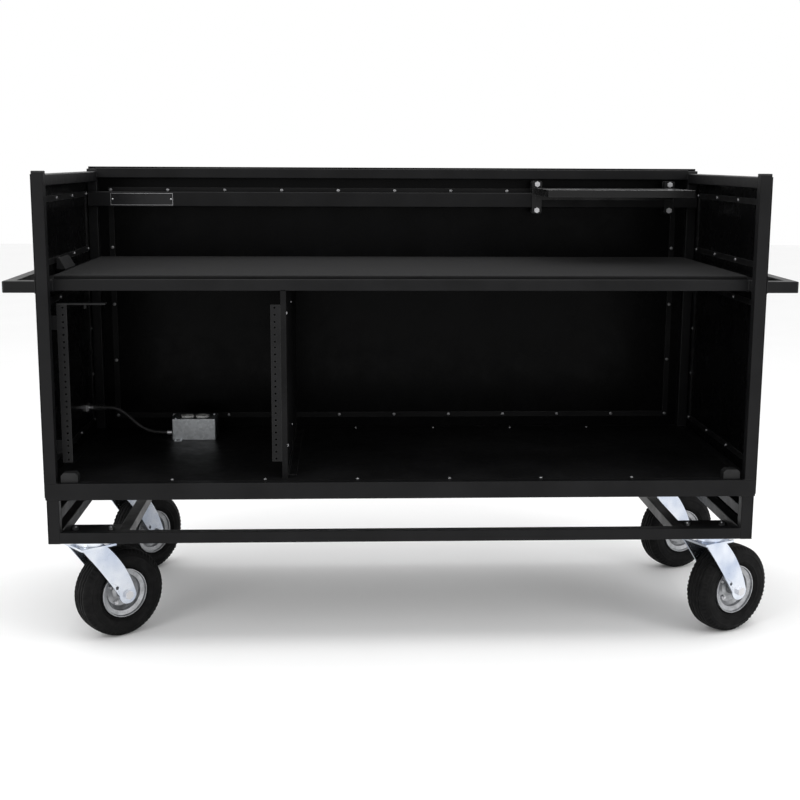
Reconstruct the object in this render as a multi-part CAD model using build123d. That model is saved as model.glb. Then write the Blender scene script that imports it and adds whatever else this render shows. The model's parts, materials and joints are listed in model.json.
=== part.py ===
"""Wheeled steel-tube equipment cart with a shelf, a rack bay and four swivel casters.

Work frame while building, in millimetres: X to the right from the middle of the cart,
Y to the rear from the front face of the front posts, Z up from the floor.
The finished nodes are moved so that the origin is at the bottom centre of the whole box.
"""
import math
import os

from build123d import *

# ---------------------------------------------------------------- driving dimensions
WIDTH = 1600.0              # over the posts, left to right
DEPTH = 640.0               # over the posts, front to rear
TUBE = 25.4                 # square tube, outside
WALL = 1.65                 # tube wall
TUBE_CORNER = 2.4           # outside corner radius of every tube
SHEET = 1.5                 # skin and tray sheet

BASE_BOTTOM = 250.3         # underside of the lower rails
BASE_INSET = 3.0            # legs and lower rails sit this far inside the upper ring
DECK_TOP = 390.0
RING_HEIGHT = 38.1          # upper ring of the base
DECK_THICK = 12.0
CROSS_INNER = 620.8         # inner face of the cross members, from the middle

POST_TOP = 1073.0
CAP_THICK = 3.0
RAIL_TOP = 1069.0           # side top rails
REAR_RAIL_TOP = 1078.0
SHELF_TUBE_TOP = 841.0
SHELF_SETBACK = 45.0        # front of the shelf tube, from the front face
BOARD_THICK = 5.0
CARPET_THICK = 3.2
BACK_SKIN_RISE = 3.5        # rear skin above the rear top rail

STRIP_INSET = 31.0          # strip centres, inside the edges of each wall opening
STRIP_WIDTH = 13.0
STRIP_THICK = 3.0
SCREW_HEAD_R = 4.4
SCREW_HEAD_H = 2.4
SCREW_SHANK_R = 1.92
SCREW_HOLE_R = 2.0

HANDLE_REACH = 72.0         # outer face of the handle bar beyond the posts

RACK_UNITS = 8
RACK_UNIT = 44.45
RACK_HOLE_SPACING = 465.1   # between the two columns of holes
RACK_HOLE_R = 2.6
RACK_LEFT_X = -753.4
RACK_Y = 42.0               # front face of the rack rails
RACK_BOTTOM = 429.6
RACK_FLANGE = 22.0
RACK_LEG = 30.0
RACK_SHEET = 2.5
DIVIDER_THICK = 12.0

BAR_HEIGHT = 38.1           # accessory rail
BAR_BOTTOM = 980.0
TRAY_LEFT = 366.0
TRAY_WIDTH = 364.0
TRAY_TOP = 1031.0
TRAY_DEPTH = 218.0
TRAY_LIP = 17.0

BOX_WIDTH = 114.0           # outlet box
BOX_DEPTH = 76.0
BOX_HEIGHT = 52.0
BOX_CENTRE_X = -522.0
BOX_FRONT_Y = 463.0
BOX_SHEET = 1.6
FOOT_SCREW = (-561.0, 449.0)    # screw through the foot of the outlet box

LEAD_DIAMETER = 9.0
BOOT_LENGTH = 32.0
# route of the supply lead, from its boot on the left wall to the outlet box
LEAD_ROUTE = [
    (-750.0, 501.0, 468.0),
    (-735.0, 501.0, 468.0),
    (-720.6, 501.6, 464.0),
    (-707.5, 503.0, 456.2),
    (-690.5, 505.5, 440.5),
    (-669.5, 507.5, 419.5),
    (-646.0, 505.5, 406.5),
    (-620.0, 502.0, 401.8),
    (-594.0, 501.0, 401.0),
]

SWIVEL_X = 717.0            # swivel axes, from the middle
SWIVEL_Y = 71.0             # swivel axes, from the front and rear faces
PLATE_LENGTH = 114.3
PLATE_WIDTH = 101.6
PLATE_THICK = 4.8
BOLT_X = 41.5               # half spacing of the caster bolts
BOLT_Y = 34.0
BOLT_R = 4.0
WHEEL_R = 105.0
LEAD = 67.0                 # axle behind the swivel axis
TRAIL_ANGLE = {"fl": 39.0, "fr": 28.0, "rl": 50.0, "rr": 23.0}
KINGPIN_R = 8.0
AXLE_R = 6.35
RUNNING_GAP = 0.08
LEG_INNER = 38.0            # inner faces of the fork legs, from the wheel's middle
LEG_THICK = 5.0

# ---------------------------------------------------------------- derived sizes
HALF = WIDTH / 2
INNER = HALF - TUBE         # inner faces of the posts
REAR_FACE = DEPTH - TUBE    # front face of the rear posts
RING_BOTTOM = DECK_TOP - RING_HEIGHT
SHELF_TUBE_BOTTOM = SHELF_TUBE_TOP - TUBE
RACK_TOP = RACK_BOTTOM + RACK_UNITS * RACK_UNIT
RACK_RIGHT_X = RACK_LEFT_X + RACK_HOLE_SPACING
DIVIDER_LEFT = RACK_RIGHT_X + 13.3
DIVIDER_RIGHT = DIVIDER_LEFT + DIVIDER_THICK
BAR_Y = REAR_FACE - TUBE    # front face of the accessory rail
PAD_Y = BASE_INSET + TUBE   # front edge of the caster pads
PAD_DEPTH = 118.0
CORNERS = {
    "fl": (-SWIVEL_X, SWIVEL_Y),
    "fr": (SWIVEL_X, SWIVEL_Y),
    "rl": (-SWIVEL_X, DEPTH - SWIVEL_Y),
    "rr": (SWIVEL_X, DEPTH - SWIVEL_Y),
}
TRAY_STRAPS = (TRAY_LEFT + 4, TRAY_LEFT + TRAY_WIDTH - 11)


# ---------------------------------------------------------------- helpers
def block(x, y, z):
    """A box from three (low, high) pairs."""
    size = (x[1] - x[0], y[1] - y[0], z[1] - z[0])
    return Pos(x[0], y[0], z[0]) * Box(*size, align=(Align.MIN, Align.MIN, Align.MIN))


def tube(start, end, width=TUBE, height=TUBE):
    """A rounded rectangular tube along X, Y or Z between the centres of its two ends."""
    run = Vector(*end) - Vector(*start)
    side = Vector(0, 1, 0) if abs(run.X) > 1 else Vector(1, 0, 0)
    plane = Plane(origin=start, x_dir=side, z_dir=run.normalized())
    outside = RectangleRounded(width, height, TUBE_CORNER)
    inside = RectangleRounded(width - 2 * WALL, height - 2 * WALL, TUBE_CORNER - WALL)
    return extrude(plane * (outside - inside), amount=run.length)


def rod(start, direction, radius, length):
    """A round bar from a point, along a direction."""
    plane = Plane(origin=start, z_dir=direction)
    return extrude(plane * Circle(radius), amount=length)


def hex_bar(start, direction, across_flats, length):
    """A hexagonal bar, for bolt heads and nuts."""
    plane = Plane(origin=start, z_dir=direction)
    corner_radius = across_flats / 2 / math.cos(math.radians(30))
    return extrude(plane * RegularPolygon(corner_radius, 6), amount=length)


def mirrored(shape):
    """The same shape on the other side of the cart."""
    return mirror(shape, about=Plane.YZ)


def both(shape):
    """The shape and its mirror image, left and right."""
    return [shape, mirrored(shape)]


# ---------------------------------------------------------------- welded frame
def front_posts():
    middle = HALF - TUBE / 2
    return both(tube((middle, TUBE / 2, DECK_TOP), (middle, TUBE / 2, POST_TOP)))


def rear_posts():
    middle = HALF - TUBE / 2
    y = DEPTH - TUBE / 2
    return both(tube((middle, y, DECK_TOP), (middle, y, POST_TOP)))


def tube_caps():
    """Moulded caps on the four posts and on the outer ends of the handle arms."""
    caps = []
    for y in (0, REAR_FACE):
        cap = block((INNER, HALF), (y, y + TUBE), (POST_TOP, POST_TOP + CAP_THICK))
        cap = fillet(cap.edges().filter_by(Axis.Z), TUBE_CORNER)
        caps += both(fillet(cap.faces().sort_by(Axis.Z)[-1].edges(), 1.4))
    end = HALF + HANDLE_REACH
    for y in (0, REAR_FACE - TUBE):
        cap = block((end - CAP_THICK, end), (y, y + TUBE), (SHELF_TUBE_BOTTOM, SHELF_TUBE_TOP))
        cap = fillet(cap.edges().filter_by(Axis.X), TUBE_CORNER)
        caps += both(fillet(cap.faces().sort_by(Axis.X)[-1].edges(), 1.4))
    return caps


def side_rails():
    """Top rails and the rails at shelf height, on both sides."""
    rails = []
    x = HALF - TUBE / 2
    for top in (RAIL_TOP, SHELF_TUBE_TOP):
        z = top - TUBE / 2
        rails += both(tube((x, TUBE, z), (x, REAR_FACE, z)))
    return rails


def rear_rail():
    """Top rail along the back, between the rear posts and over their caps' height."""
    y = DEPTH - TUBE / 2
    z = REAR_RAIL_TOP - TUBE / 2
    return [tube((-INNER, y, z), (INNER, y, z))]


def base_long_rails():
    z = DECK_TOP - RING_HEIGHT / 2
    rails = []
    for y in (TUBE / 2, DEPTH - TUBE / 2):
        rails.append(tube((-HALF, y, z), (HALF, y, z), TUBE, RING_HEIGHT))
    return rails


def base_end_rails():
    z = DECK_TOP - RING_HEIGHT / 2
    x = HALF - TUBE / 2
    return both(tube((x, TUBE, z), (x, REAR_FACE, z), TUBE, RING_HEIGHT))


def base_legs():
    x = HALF - BASE_INSET - TUBE / 2
    legs = []
    for y in (BASE_INSET + TUBE / 2, DEPTH - BASE_INSET - TUBE / 2):
        legs += both(tube((x, y, BASE_BOTTOM), (x, y, RING_BOTTOM)))
    return legs


def lower_long_rails():
    x = HALF - BASE_INSET - TUBE
    z = BASE_BOTTOM + TUBE / 2
    rails = []
    for y in (BASE_INSET + TUBE / 2, DEPTH - BASE_INSET - TUBE / 2):
        rails.append(tube((-x, y, z), (x, y, z)))
    return rails


def base_mid_rails():
    """Rails half way up the two ends of the base, leg to leg."""
    z = (BASE_BOTTOM + TUBE + RING_BOTTOM) / 2
    x = HALF - BASE_INSET - TUBE / 2
    return both(tube((x, PAD_Y, z), (x, DEPTH - PAD_Y, z)))


def base_end_panels():
    """Sheets that close the two ends of the base, outside the legs."""
    x = HALF - BASE_INSET
    return both(block((x, x + SHEET), (BASE_INSET, DEPTH - BASE_INSET), (BASE_BOTTOM, RING_BOTTOM)))


def lower_cross_rails():
    """End rails and the two inner cross members, all front to rear."""
    z = BASE_BOTTOM + TUBE / 2
    rails = []
    for x in (HALF - BASE_INSET - TUBE / 2, CROSS_INNER + TUBE / 2):
        rails += both(tube((x, PAD_Y, z), (x, DEPTH - PAD_Y, z)))
    return rails


def caster_pads():
    """Steel plates between the end rails and cross members, drilled for the casters."""
    pads = []
    for x, y in CORNERS.values():
        low = PAD_Y if y < DEPTH / 2 else DEPTH - PAD_Y - PAD_DEPTH
        x_low = CROSS_INNER + TUBE
        x_high = HALF - BASE_INSET - TUBE
        span = (x_low, x_high) if x > 0 else (-x_high, -x_low)
        pad = block(span, (low, low + PAD_DEPTH), (BASE_BOTTOM, BASE_BOTTOM + PLATE_THICK))
        for dx in (-BOLT_X, BOLT_X):
            for dy in (-BOLT_Y, BOLT_Y):
                pad -= rod((x + dx, y + dy, BASE_BOTTOM - 1), (0, 0, 1), BOLT_R + 0.2, PLATE_THICK + 2)
        pads.append(pad)
    return pads


# ---------------------------------------------------------------- deck, shelf and skins
DECK_SCREW_STEP = 209.0
DECK_SCREWS = [
    (DECK_SCREW_STEP * n, y) for n in (-2.5, -1.5, -0.5, 0.5, 1.5, 2.5) for y in (34.0, REAR_FACE - 11.0)
]


def deck():
    panel = block((-INNER, INNER), (TUBE, REAR_FACE), (DECK_TOP - DECK_THICK, DECK_TOP))
    for x, y in DECK_SCREWS + [FOOT_SCREW]:
        panel -= rod((x, y, DECK_TOP - 3.2), (0, 0, 1), SCREW_HOLE_R, 5)
    return [panel]


def shelf_tubes():
    z = SHELF_TUBE_TOP - TUBE / 2
    front = SHELF_SETBACK + TUBE / 2
    rear = REAR_FACE - TUBE / 2
    bars = [tube((-INNER, y, z), (INNER, y, z)) for y in (front, rear)]
    for x in (-INNER / 3, INNER / 3):
        bars.append(tube((x, front + TUBE / 2, z), (x, rear - TUBE / 2, z)))
    return bars


def shelf_board():
    x = INNER - 1.6
    return [block((-x, x), (SHELF_SETBACK + 12, DEPTH - 6), (SHELF_TUBE_TOP, SHELF_TUBE_TOP + BOARD_THICK))]


def shelf_carpet():
    x = INNER - 1.6
    low = SHELF_TUBE_TOP + BOARD_THICK
    sheet = block((-x, x), (SHELF_SETBACK + 12, DEPTH - 6), (low, low + CARPET_THICK))
    front_edge = sheet.edges().filter_by(Axis.X).group_by(Axis.Z)[-1].sort_by(Axis.Y)[0]
    return [fillet(front_edge, 2.0)]


def left_panel():
    return [block((-HALF - SHEET, -HALF), (0.5, DEPTH), (RING_BOTTOM + 6, RAIL_TOP))]


def right_panel():
    return [mirrored(left_panel()[0])]


def back_panel():
    return [block((-HALF, HALF), (DEPTH, DEPTH + SHEET), (RING_BOTTOM + 6, REAR_RAIL_TOP + BACK_SKIN_RISE))]


def screw_grid(width, low, high, columns, rows):
    """Columns and rows of screw centres inside a wall opening of a width and two heights."""
    start, end = width[0] + STRIP_INSET, width[1] - STRIP_INSET
    bottom, top = low + STRIP_INSET, high - STRIP_INSET
    across = [start + (end - start) * n / (columns - 1) for n in range(columns)]
    up = [bottom + (top - bottom) * n / (rows - 1) for n in range(rows)]
    return across, up


# screw frames on the inside of the skins
BACK_FRAME = screw_grid((-INNER, INNER), DECK_TOP, REAR_RAIL_TOP - TUBE, 11, 5)
SIDE_FRAMES = [
    screw_grid((TUBE, REAR_FACE), DECK_TOP, SHELF_TUBE_BOTTOM, 4, 4),
    screw_grid((TUBE, REAR_FACE), SHELF_TUBE_TOP, RAIL_TOP - TUBE, 4, 2),
]


def frame_screws(frame):
    """Centres of the screws round the border of a grid of columns and rows."""
    columns, rows = frame
    centres = [(u, v) for u in columns for v in (rows[0], rows[-1])]
    centres += [(u, v) for u in (columns[0], columns[-1]) for v in rows[1:-1]]
    return centres


def strip_frame(frame):
    """Four flat strips round a grid, lying on the XZ plane and rising towards -Y."""
    columns, rows = frame
    half = STRIP_WIDTH / 2
    left, right, low, high = columns[0], columns[-1], rows[0], rows[-1]
    strips = []
    for v in (low, high):
        strips.append(block((left - half, right + half), (-STRIP_THICK, 0), (v - half, v + half)))
    for u in (left, right):
        strips.append(block((u - half, u + half), (-STRIP_THICK, 0), (low + half, high - half)))
    drilled = []
    for strip in strips:
        box = strip.bounding_box()
        for u, v in frame_screws(frame):
            inside = box.min.X < u < box.max.X and box.min.Z < v < box.max.Z
            if inside:
                strip -= rod((u, 1, v), (0, -1, 0), SCREW_HOLE_R, STRIP_THICK + 2)
        drilled.append(strip)
    return drilled


BACK_WALL = Pos(0, DEPTH, 0)
LEFT_WALL = Pos(-HALF, 0, 0) * Rot(0, 0, 90)    # local X runs to the rear, local -Y faces inward


def panel_strips():
    strips = [BACK_WALL * strip for strip in strip_frame(BACK_FRAME)]
    for frame in SIDE_FRAMES:
        for strip in strip_frame(frame):
            strips += both(LEFT_WALL * strip)
    return strips


def screw():
    """A pan-head screw: head above the XY plane, shank below."""
    head = extrude(Circle(SCREW_HEAD_R), amount=SCREW_HEAD_H)
    head = fillet(head.faces().sort_by(Axis.Z)[-1].edges(), 1.5)
    shank = rod((0, 0, 0), (0, 0, -1), SCREW_SHANK_R, STRIP_THICK)
    return head + shank


def panel_screws():
    one = screw()
    facing = Rot(90, 0, 0)      # head towards -Y
    screws = []
    for u, v in frame_screws(BACK_FRAME):
        screws.append(BACK_WALL * Pos(u, -STRIP_THICK, v) * facing * one)
    for frame in SIDE_FRAMES:
        for u, v in frame_screws(frame):
            screws += both(LEFT_WALL * Pos(u, -STRIP_THICK, v) * facing * one)
    for x, y in DECK_SCREWS:
        screws.append(Pos(x, y, DECK_TOP) * one)
    screws.append(Pos(*FOOT_SCREW, DECK_TOP + BOX_SHEET) * one)
    for y, z in DIVIDER_SCREWS:
        screws.append(Pos(DIVIDER_RIGHT, y, z) * Rot(0, 90, 0) * one)
    return screws


# ---------------------------------------------------------------- rack bay
DIVIDER_SCREWS = [(RACK_Y + 16, 463.0), (RACK_Y + 16, 765.0), (300.0, 463.0), (300.0, 765.0)]


def divider():
    panel = block((DIVIDER_LEFT, DIVIDER_RIGHT), (RACK_Y, REAR_FACE), (DECK_TOP, SHELF_TUBE_BOTTOM))
    for y, z in DIVIDER_SCREWS:
        panel -= rod((DIVIDER_RIGHT - 3.2, y, z), (1, 0, 0), SCREW_HOLE_R, 5)
    return [panel]


def divider_angle():
    """Angle strip that fixes the divider to the deck, on its right side."""
    length = (RACK_Y + 30, REAR_FACE - 40)
    x = DIVIDER_RIGHT
    upright = block((x, x + 2), length, (DECK_TOP, DECK_TOP + 19))
    foot = block((x, x + 19), length, (DECK_TOP, DECK_TOP + 2))
    return [upright + foot]


def rack_rail(hole_x, leg_side):
    """An angle with a column of holes; leg_side is -1 or +1, where its leg is."""
    edge = hole_x + leg_side * (13.3 - 0.3)
    inner = edge - leg_side * RACK_FLANGE
    flange = block(sorted((edge, inner)), (RACK_Y, RACK_Y + RACK_SHEET), (RACK_BOTTOM, RACK_TOP))
    outside = sorted((edge, edge - leg_side * RACK_SHEET))
    leg = block(outside, (RACK_Y, RACK_Y + RACK_LEG), (RACK_BOTTOM, RACK_TOP))
    rail = flange + leg
    for unit in range(RACK_UNITS):
        for rise in (6.35, 22.225, 38.1):
            z = RACK_BOTTOM + unit * RACK_UNIT + rise
            rail -= rod((hole_x, RACK_Y - 1, z), (0, 1, 0), RACK_HOLE_R, RACK_SHEET + 2)
    return rail


def rack_rails():
    return [rack_rail(RACK_LEFT_X, -1), rack_rail(RACK_RIGHT_X, 1)]


def rack_brackets():
    """Spacers between the left wall and the left rail, and the bracket on top of that rail."""
    leg = RACK_LEFT_X - 13.0
    spacers = []
    for z in (450.0, 730.0):
        spacers.append(block((-HALF + STRIP_THICK, leg), (RACK_Y + 4, RACK_Y + 24), (z, z + 30)))
    bar = block((leg, leg + 106), (RACK_Y, RACK_Y + 26), (RACK_TOP, RACK_TOP + 3))
    peg = rod((leg + 60, RACK_Y + 13, RACK_TOP - 9), (0, 0, 1), 3.5, 9)
    return spacers + [bar + peg]


def corner_blocks():
    """Chamfered blocks inside the front corners of the deck, that locate a front cover."""
    body = block((728.5, 766.5), (11, 36), (DECK_TOP, DECK_TOP + 22))
    body = chamfer(body.faces().sort_by(Axis.Z)[-1].edges().filter_by(Axis.Y), 6)
    return both(body)


def cable_hood():
    """Sloping hood on the left wall, above the shelf, over the hole for cables."""
    low = SHELF_TUBE_TOP + BOARD_THICK + CARPET_THICK + 2.3
    wall = -HALF + STRIP_THICK + SCREW_HEAD_H + 0.4
    outline = [(wall, low), (wall + 20, low), (wall + 6, low + 25), (wall, low + 25)]
    section = make_face(Polyline(*outline, close=True))
    outer = extrude(Plane.XZ.offset(-300) * section, amount=110)
    inner = extrude(Plane.XZ.offset(-298) * offset(section, -2, kind=Kind.INTERSECTION), amount=106)
    floor_cut = block((wall - 1, wall + 15), (192, 298), (low - 1, low + 3))
    return [outer - inner - floor_cut]


# ---------------------------------------------------------------- handles
def handle_left():
    """Bar between two arms that stand out from the posts at shelf height."""
    outer = -HALF - HANDLE_REACH
    z = SHELF_TUBE_TOP - TUBE / 2
    pieces = [tube((outer + TUBE / 2, TUBE, z), (outer + TUBE / 2, REAR_FACE - TUBE, z))]
    for y in (TUBE / 2, REAR_FACE - TUBE / 2):
        pieces.append(tube((outer + CAP_THICK, y, z), (-HALF - SHEET, y, z)))
    return pieces


def handle_right():
    return [mirrored(piece) for piece in handle_left()]


# ---------------------------------------------------------------- accessory rail and tray
def accessory_rail():
    z = BAR_BOTTOM + BAR_HEIGHT / 2
    y = BAR_Y + TUBE / 2
    end = HALF - STRIP_THICK - SCREW_HEAD_H - 1
    return [tube((-end, y, z), (end, y, z), TUBE, BAR_HEIGHT)]


def badge():
    """Blank name plate on the rail."""
    plate = block((-738, -574), (BAR_Y - 1.2, BAR_Y), (BAR_BOTTOM + 1.5, BAR_BOTTOM + 36.6))
    return [fillet(plate.edges().filter_by(Axis.Y), 3)]


def tray():
    """Flat tray with its front and side lips folded down and a flange at the rear."""
    rear = BAR_Y - 5.6
    front = rear - TRAY_DEPTH
    x = (TRAY_LEFT, TRAY_LEFT + TRAY_WIDTH)
    shell = block(x, (front, rear), (TRAY_TOP - TRAY_LIP, TRAY_TOP))
    inside = (x[0] + SHEET, x[1] - SHEET)
    shell -= block(inside, (front + SHEET, rear - SHEET), (TRAY_TOP - TRAY_LIP - 1, TRAY_TOP - SHEET))
    flange = block(x, (rear - SHEET, rear), (TRAY_TOP - 30, TRAY_TOP - TRAY_LIP))
    corners = shell.edges().filter_by(Axis.Z).group_by(Axis.Y)[0]
    return [fillet(corners, 1.4) + flange]


STRAP_LOW = BAR_BOTTOM - 14.0
STRAP_HIGH = BAR_BOTTOM + BAR_HEIGHT + 31.0
STRAP_BOLTS = (STRAP_LOW + 8, STRAP_HIGH - 8)
STRAP_THICK = 5.3


def tray_clamps():
    """A strap in front of the rail and a plate behind it, at each end of the tray."""
    pieces = []
    for x in TRAY_STRAPS:
        for y, thick in ((BAR_Y - 0.3 - STRAP_THICK, STRAP_THICK), (BAR_Y + TUBE + 0.3, 4.0)):
            bar = block((x - 12.5, x + 12.5), (y, y + thick), (STRAP_LOW, STRAP_HIGH))
            bar = fillet(bar.edges().filter_by(Axis.Y), 4)
            for z in STRAP_BOLTS:
                bar -= rod((x, y - 1, z), (0, 1, 0), BOLT_R + 0.1, thick + 2)
            pieces.append(bar)
    return pieces


def tray_bolts():
    pieces = []
    front = BAR_Y - 0.3 - STRAP_THICK
    rear = BAR_Y + TUBE + 4.3
    for x in TRAY_STRAPS:
        for z in STRAP_BOLTS:
            head = hex_bar((x, front, z), (0, -1, 0), 12.7, 5)
            shank = rod((x, front, z), (0, 1, 0), BOLT_R, rear + 9 - front)
            nut = hex_bar((x, rear, z), (0, 1, 0), 12.7, 6)
            pieces.append(head + shank + nut)
    return pieces


# ---------------------------------------------------------------- power
BOX_X = (BOX_CENTRE_X - BOX_WIDTH / 2, BOX_CENTRE_X + BOX_WIDTH / 2)
BOX_Y = (BOX_FRONT_Y, BOX_FRONT_Y + BOX_DEPTH)
BOX_TOP = DECK_TOP + BOX_HEIGHT
OUTLET_FACES = (-19.05, 19.05)      # the two socket faces, from the box's middle


def outlet_box():
    """Open box with a foot that is screwed to the deck in front of it."""
    shell = block(BOX_X, BOX_Y, (DECK_TOP, BOX_TOP))
    shell = fillet(shell.edges().filter_by(Axis.Z), 4)
    inside_x = (BOX_X[0] + BOX_SHEET, BOX_X[1] - BOX_SHEET)
    inside_y = (BOX_Y[0] + BOX_SHEET, BOX_Y[1] - BOX_SHEET)
    inside = block(inside_x, inside_y, (DECK_TOP + BOX_SHEET, BOX_TOP + 1))
    shell -= fillet(inside.edges().filter_by(Axis.Z), 2.4)
    screw_x, screw_y = FOOT_SCREW
    foot = block((screw_x - 9, screw_x + 9), (screw_y - 8, BOX_Y[0] + 1), (DECK_TOP, DECK_TOP + BOX_SHEET))
    foot -= rod((screw_x, screw_y, DECK_TOP - 1), (0, 0, 1), SCREW_HOLE_R, 4)
    entry = rod((BOX_X[0] - 1, LEAD_ROUTE[-1][1], LEAD_ROUTE[-1][2]), (1, 0, 0), 6.6, 4)
    return [shell + foot - entry]


def socket_slots(z):
    """Slots of the two socket faces, as cutters."""
    middle_y = (BOX_Y[0] + BOX_Y[1]) / 2
    slots = []
    for dx in OUTLET_FACES:
        x = BOX_CENTRE_X + dx
        for y in (middle_y - 6.35, middle_y + 6.35):
            slots.append(block((x - 4.2, x + 4.2), (y - 1, y + 1), (z - 9, z + 9)))
        slots.append(rod((x + 9.5, middle_y, z - 9), (0, 0, 1), 2.5, 18))
    return slots


def outlet_cover():
    plate = block(BOX_X, BOX_Y, (BOX_TOP, BOX_TOP + 1.6))
    plate = fillet(plate.edges().filter_by(Axis.Z), 4)
    middle_y = (BOX_Y[0] + BOX_Y[1]) / 2
    for dx in OUTLET_FACES:
        plate -= rod((BOX_CENTRE_X + dx, middle_y, BOX_TOP - 1), (0, 0, 1), 17.6, 4)
    screws = []
    for x, y in ((BOX_X[0] + 10, BOX_Y[0] + 10), (BOX_X[1] - 10, BOX_Y[1] - 10)):
        screws.append(rod((x, y, BOX_TOP + 1.6), (0, 0, 1), 4.6, 2.4))
    return [plate] + screws


def receptacle():
    middle_y = (BOX_Y[0] + BOX_Y[1]) / 2
    body = block(
        (BOX_CENTRE_X - 34, BOX_CENTRE_X + 34), (middle_y - 17, middle_y + 17), (BOX_TOP - 25, BOX_TOP - 1)
    )
    for dx in OUTLET_FACES:
        body += rod((BOX_CENTRE_X + dx, middle_y, BOX_TOP - 1), (0, 0, 1), 17.2, 6)
    for cutter in socket_slots(BOX_TOP + 2):
        body -= cutter
    return [body]


def lead_boot():
    """Tapered strain relief on the lead, and the clamp nut on the outlet box."""
    x, y, z = LEAD_ROUTE[0]
    wide = Plane(origin=(x - BOOT_LENGTH, y, z), z_dir=(1, 0, 0)) * Circle(10)
    narrow = Plane(origin=(x, y, z), z_dir=(1, 0, 0)) * Circle(6.2)
    sleeve = loft([wide, narrow])
    return [sleeve - rod((x - 12, y, z), (1, 0, 0), LEAD_DIAMETER / 2, 12)]


def cable_glands():
    """Metal gland on the left wall and the clamp connector on the box."""
    x, y, z = LEAD_ROUTE[0]
    wall = -HALF
    body = rod((wall, y, z), (1, 0, 0), 8, x - BOOT_LENGTH - wall)
    nut = hex_bar((wall, y, z), (1, 0, 0), 26, 7)
    end_x, end_y, end_z = LEAD_ROUTE[-1]
    clamp = rod((end_x, end_y, end_z), (1, 0, 0), 9.0, BOX_X[0] - end_x)
    clamp += rod((end_x, end_y, end_z), (1, 0, 0), 6.4, BOX_X[0] - end_x + 5)
    clamp -= rod((end_x, end_y, end_z), (1, 0, 0), LEAD_DIAMETER / 2, 6)
    return [body + nut, clamp]


def supply_lead():
    points = [Vector(*point) for point in LEAD_ROUTE]
    runs = [b - a for a, b in zip(points, points[1:])]
    radii = []
    for before, after in zip(runs, runs[1:]):
        turn = math.radians(before.get_angle(after))
        radii.append(0.45 * min(before.length, after.length) / math.tan(turn / 2))
    path = FilletPolyline(*points, radius=radii)
    section = Plane(origin=path @ 0, z_dir=path % 0) * Circle(LEAD_DIAMETER / 2)
    lead = sweep(section, path=path)
    expected = math.pi * (LEAD_DIAMETER / 2) ** 2 * path.length
    print("lead radii", [round(radius, 1) for radius in radii])
    print("lead length %.1f, volume %.0f, expected %.0f" % (path.length, lead.volume, expected))
    return [lead]


def power_inlet():
    """Flanged inlet outside the left panel, on the other side of the gland."""
    x, y, z = LEAD_ROUTE[0]
    skin = -HALF - SHEET
    flange = block((skin - 4, skin), (y - 30, y + 30), (z - 30, z + 30))
    flange = fillet(flange.edges().filter_by(Axis.X), 7)
    body = rod((skin - 26, y, z), (1, 0, 0), 22, 22.5)
    body -= rod((skin - 27, y, z), (1, 0, 0), 18.5, 20)
    pins = []
    for dy, dz in ((-8, -4), (8, -4), (0, 8)):
        pins.append(rod((skin - 20, y + dy, z + dz), (1, 0, 0), 2.2, 14))
    return [flange + body] + pins


# ---------------------------------------------------------------- casters
def at_corner(key):
    """Place of a caster: local X is its trail, on the floor under the swivel axis."""
    x, y = CORNERS[key]
    return Pos(x, y, 0) * Rot(0, 0, TRAIL_ANGLE[key])


PLATE_BOTTOM = BASE_BOTTOM - PLATE_THICK
CROWN_BOTTOM = 228.0
CROWN_TOP = 233.6
CROWN_FRONT = -46.0         # ends of the crown, from the swivel axis
CROWN_REAR = 42.0
RACE_TOP = PLATE_BOTTOM - 2.0
RACE_R = 38.0
BOSS_R = 30.0


def caster_plates():
    """Top plates with their kingpins, bolted under the pads."""
    plates = []
    for x, y in CORNERS.values():
        plate = block(
            (x - PLATE_LENGTH / 2, x + PLATE_LENGTH / 2),
            (y - PLATE_WIDTH / 2, y + PLATE_WIDTH / 2),
            (PLATE_BOTTOM, BASE_BOTTOM),
        )
        plate = fillet(plate.edges().filter_by(Axis.Z), 9)
        for dx in (-BOLT_X, BOLT_X):
            for dy in (-BOLT_Y, BOLT_Y):
                plate -= rod((x + dx, y + dy, PLATE_BOTTOM - 1), (0, 0, 1), BOLT_R + 0.2, PLATE_THICK + 2)
        boss = rod((x, y, CROWN_TOP + 0.6), (0, 0, 1), BOSS_R, PLATE_BOTTOM - CROWN_TOP - 0.6)
        pin = rod((x, y, CROWN_BOTTOM - 9.5), (0, 0, 1), KINGPIN_R, PLATE_BOTTOM - CROWN_BOTTOM + 9.5)
        nut = hex_bar((x, y, CROWN_BOTTOM - 8.5), (0, 0, 1), 22, 8.1)
        plates.append(plate + boss + pin + nut)
    return plates


def caster_bolts():
    bolts = []
    top = BASE_BOTTOM + PLATE_THICK
    for x, y in CORNERS.values():
        for dx in (-BOLT_X, BOLT_X):
            for dy in (-BOLT_Y, BOLT_Y):
                head = hex_bar((x + dx, y + dy, PLATE_BOTTOM), (0, 0, -1), 12.7, 5)
                shank = rod((x + dx, y + dy, PLATE_BOTTOM), (0, 0, 1), BOLT_R, top + 9 - PLATE_BOTTOM)
                nut = hex_bar((x + dx, y + dy, top), (0, 0, 1), 12.7, 6.7)
                bolts.append(head + shank + nut)
    return bolts


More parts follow.
